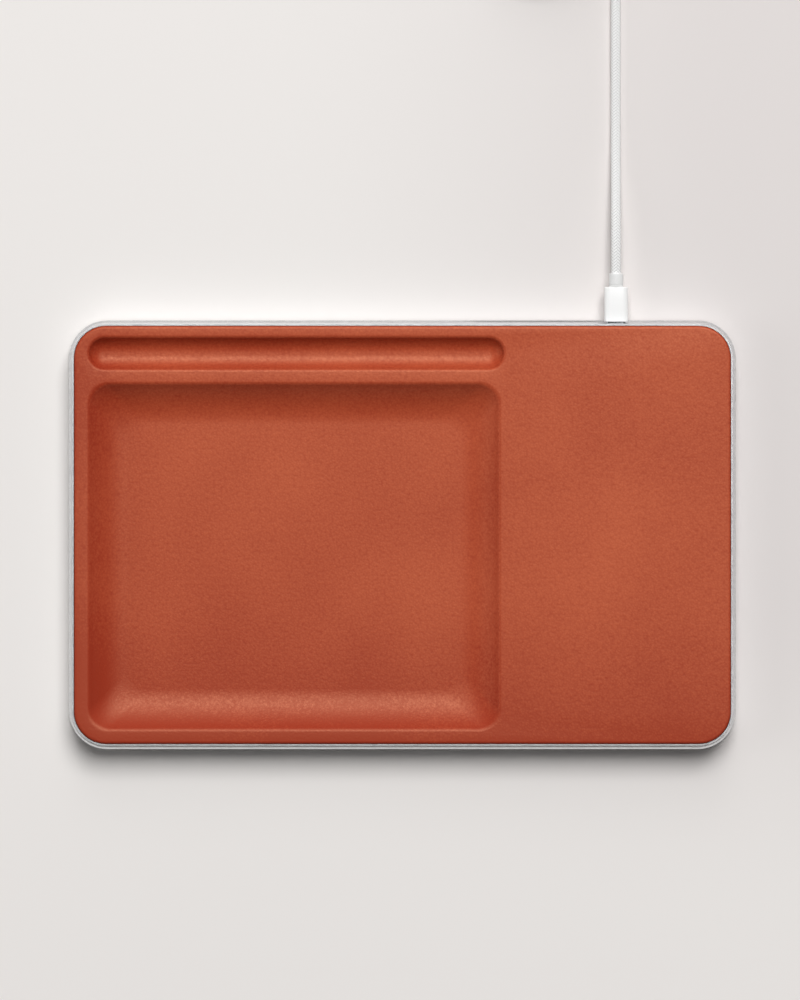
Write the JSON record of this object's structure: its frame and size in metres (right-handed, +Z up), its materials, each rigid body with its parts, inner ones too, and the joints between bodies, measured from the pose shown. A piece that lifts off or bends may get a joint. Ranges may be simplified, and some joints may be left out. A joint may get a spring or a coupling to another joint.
{
  "type": "charging station organizer",
  "caption": "Flat leather-topped desk tray with a valet recess, a pen groove and a wireless charging zone, in an aluminium frame, with a plug-in cable.",
  "frame": {"origin": "on the table, under the middle of the tray", "axes": "+X along the tray towards the charging zone, +Y towards the back edge with the socket, +Z up"},
  "size_m": [0.28, 0.3901, 0.0238],
  "materials": {
    "leather": "pebble grain, satin",
    "shell_plastic": "moulded, matt",
    "frame_aluminium": "fine bead blasted, anodised",
    "plate_aluminium": "anodised, polished chamfer",
    "foot_rubber": "moulded, matt",
    "screw_steel": "black oxide",
    "carrier_plastic": "moulded, matt",
    "ferrite": "sintered, dull",
    "coil_copper": "enamelled stranded wire",
    "board_laminate": "solder mask",
    "chip_epoxy": "moulded epoxy",
    "capacitor_ceramic": "fired ceramic",
    "inductor_ferrite": "sintered",
    "socket_steel": "nickel plated",
    "contact_plastic": "moulded",
    "nose_steel": "nickel plated",
    "plug_plastic": "moulded, satin gloss",
    "collar_plastic": "moulded, matt",
    "cable_braid": "braided sleeve"
  },
  "bodies": {
    "tray": {"leather_cover": "leather", "tray_shell": "shell_plastic", "metal_frame": "frame_aluminium", "base_plate": "plate_aluminium", "rubber_feet": "foot_rubber", "base_screws": "screw_steel", "coil_carrier": "carrier_plastic", "carrier_screws": "screw_steel", "ferrite_sheet": "ferrite", "rear_coil": "coil_copper", "middle_coil": "coil_copper", "front_coil": "coil_copper", "coil_leads": "coil_copper", "driver_board": "board_laminate", "controller_chip": "chip_epoxy", "power_transistors": "chip_epoxy", "resonance_capacitors": "capacitor_ceramic", "filter_inductor": "inductor_ferrite", "board_screws": "screw_steel", "socket_shell": "socket_steel", "socket_tongue": "contact_plastic"},
    "cable": {"plug_nose": "nose_steel", "plug_housing": "plug_plastic", "plug_collar": "collar_plastic", "cord_run": "cable_braid", "cord_coil": "cable_braid", "far_plug_collar": "collar_plastic", "far_plug_housing": "plug_plastic", "far_plug_nose": "nose_steel"}
  },
  "joints": [
    {"name": "plug_pull", "type": "slide", "parent": "tray", "child": "cable", "axis": [0, 1, 0], "range_m": [0, 0.012]}
  ]
}
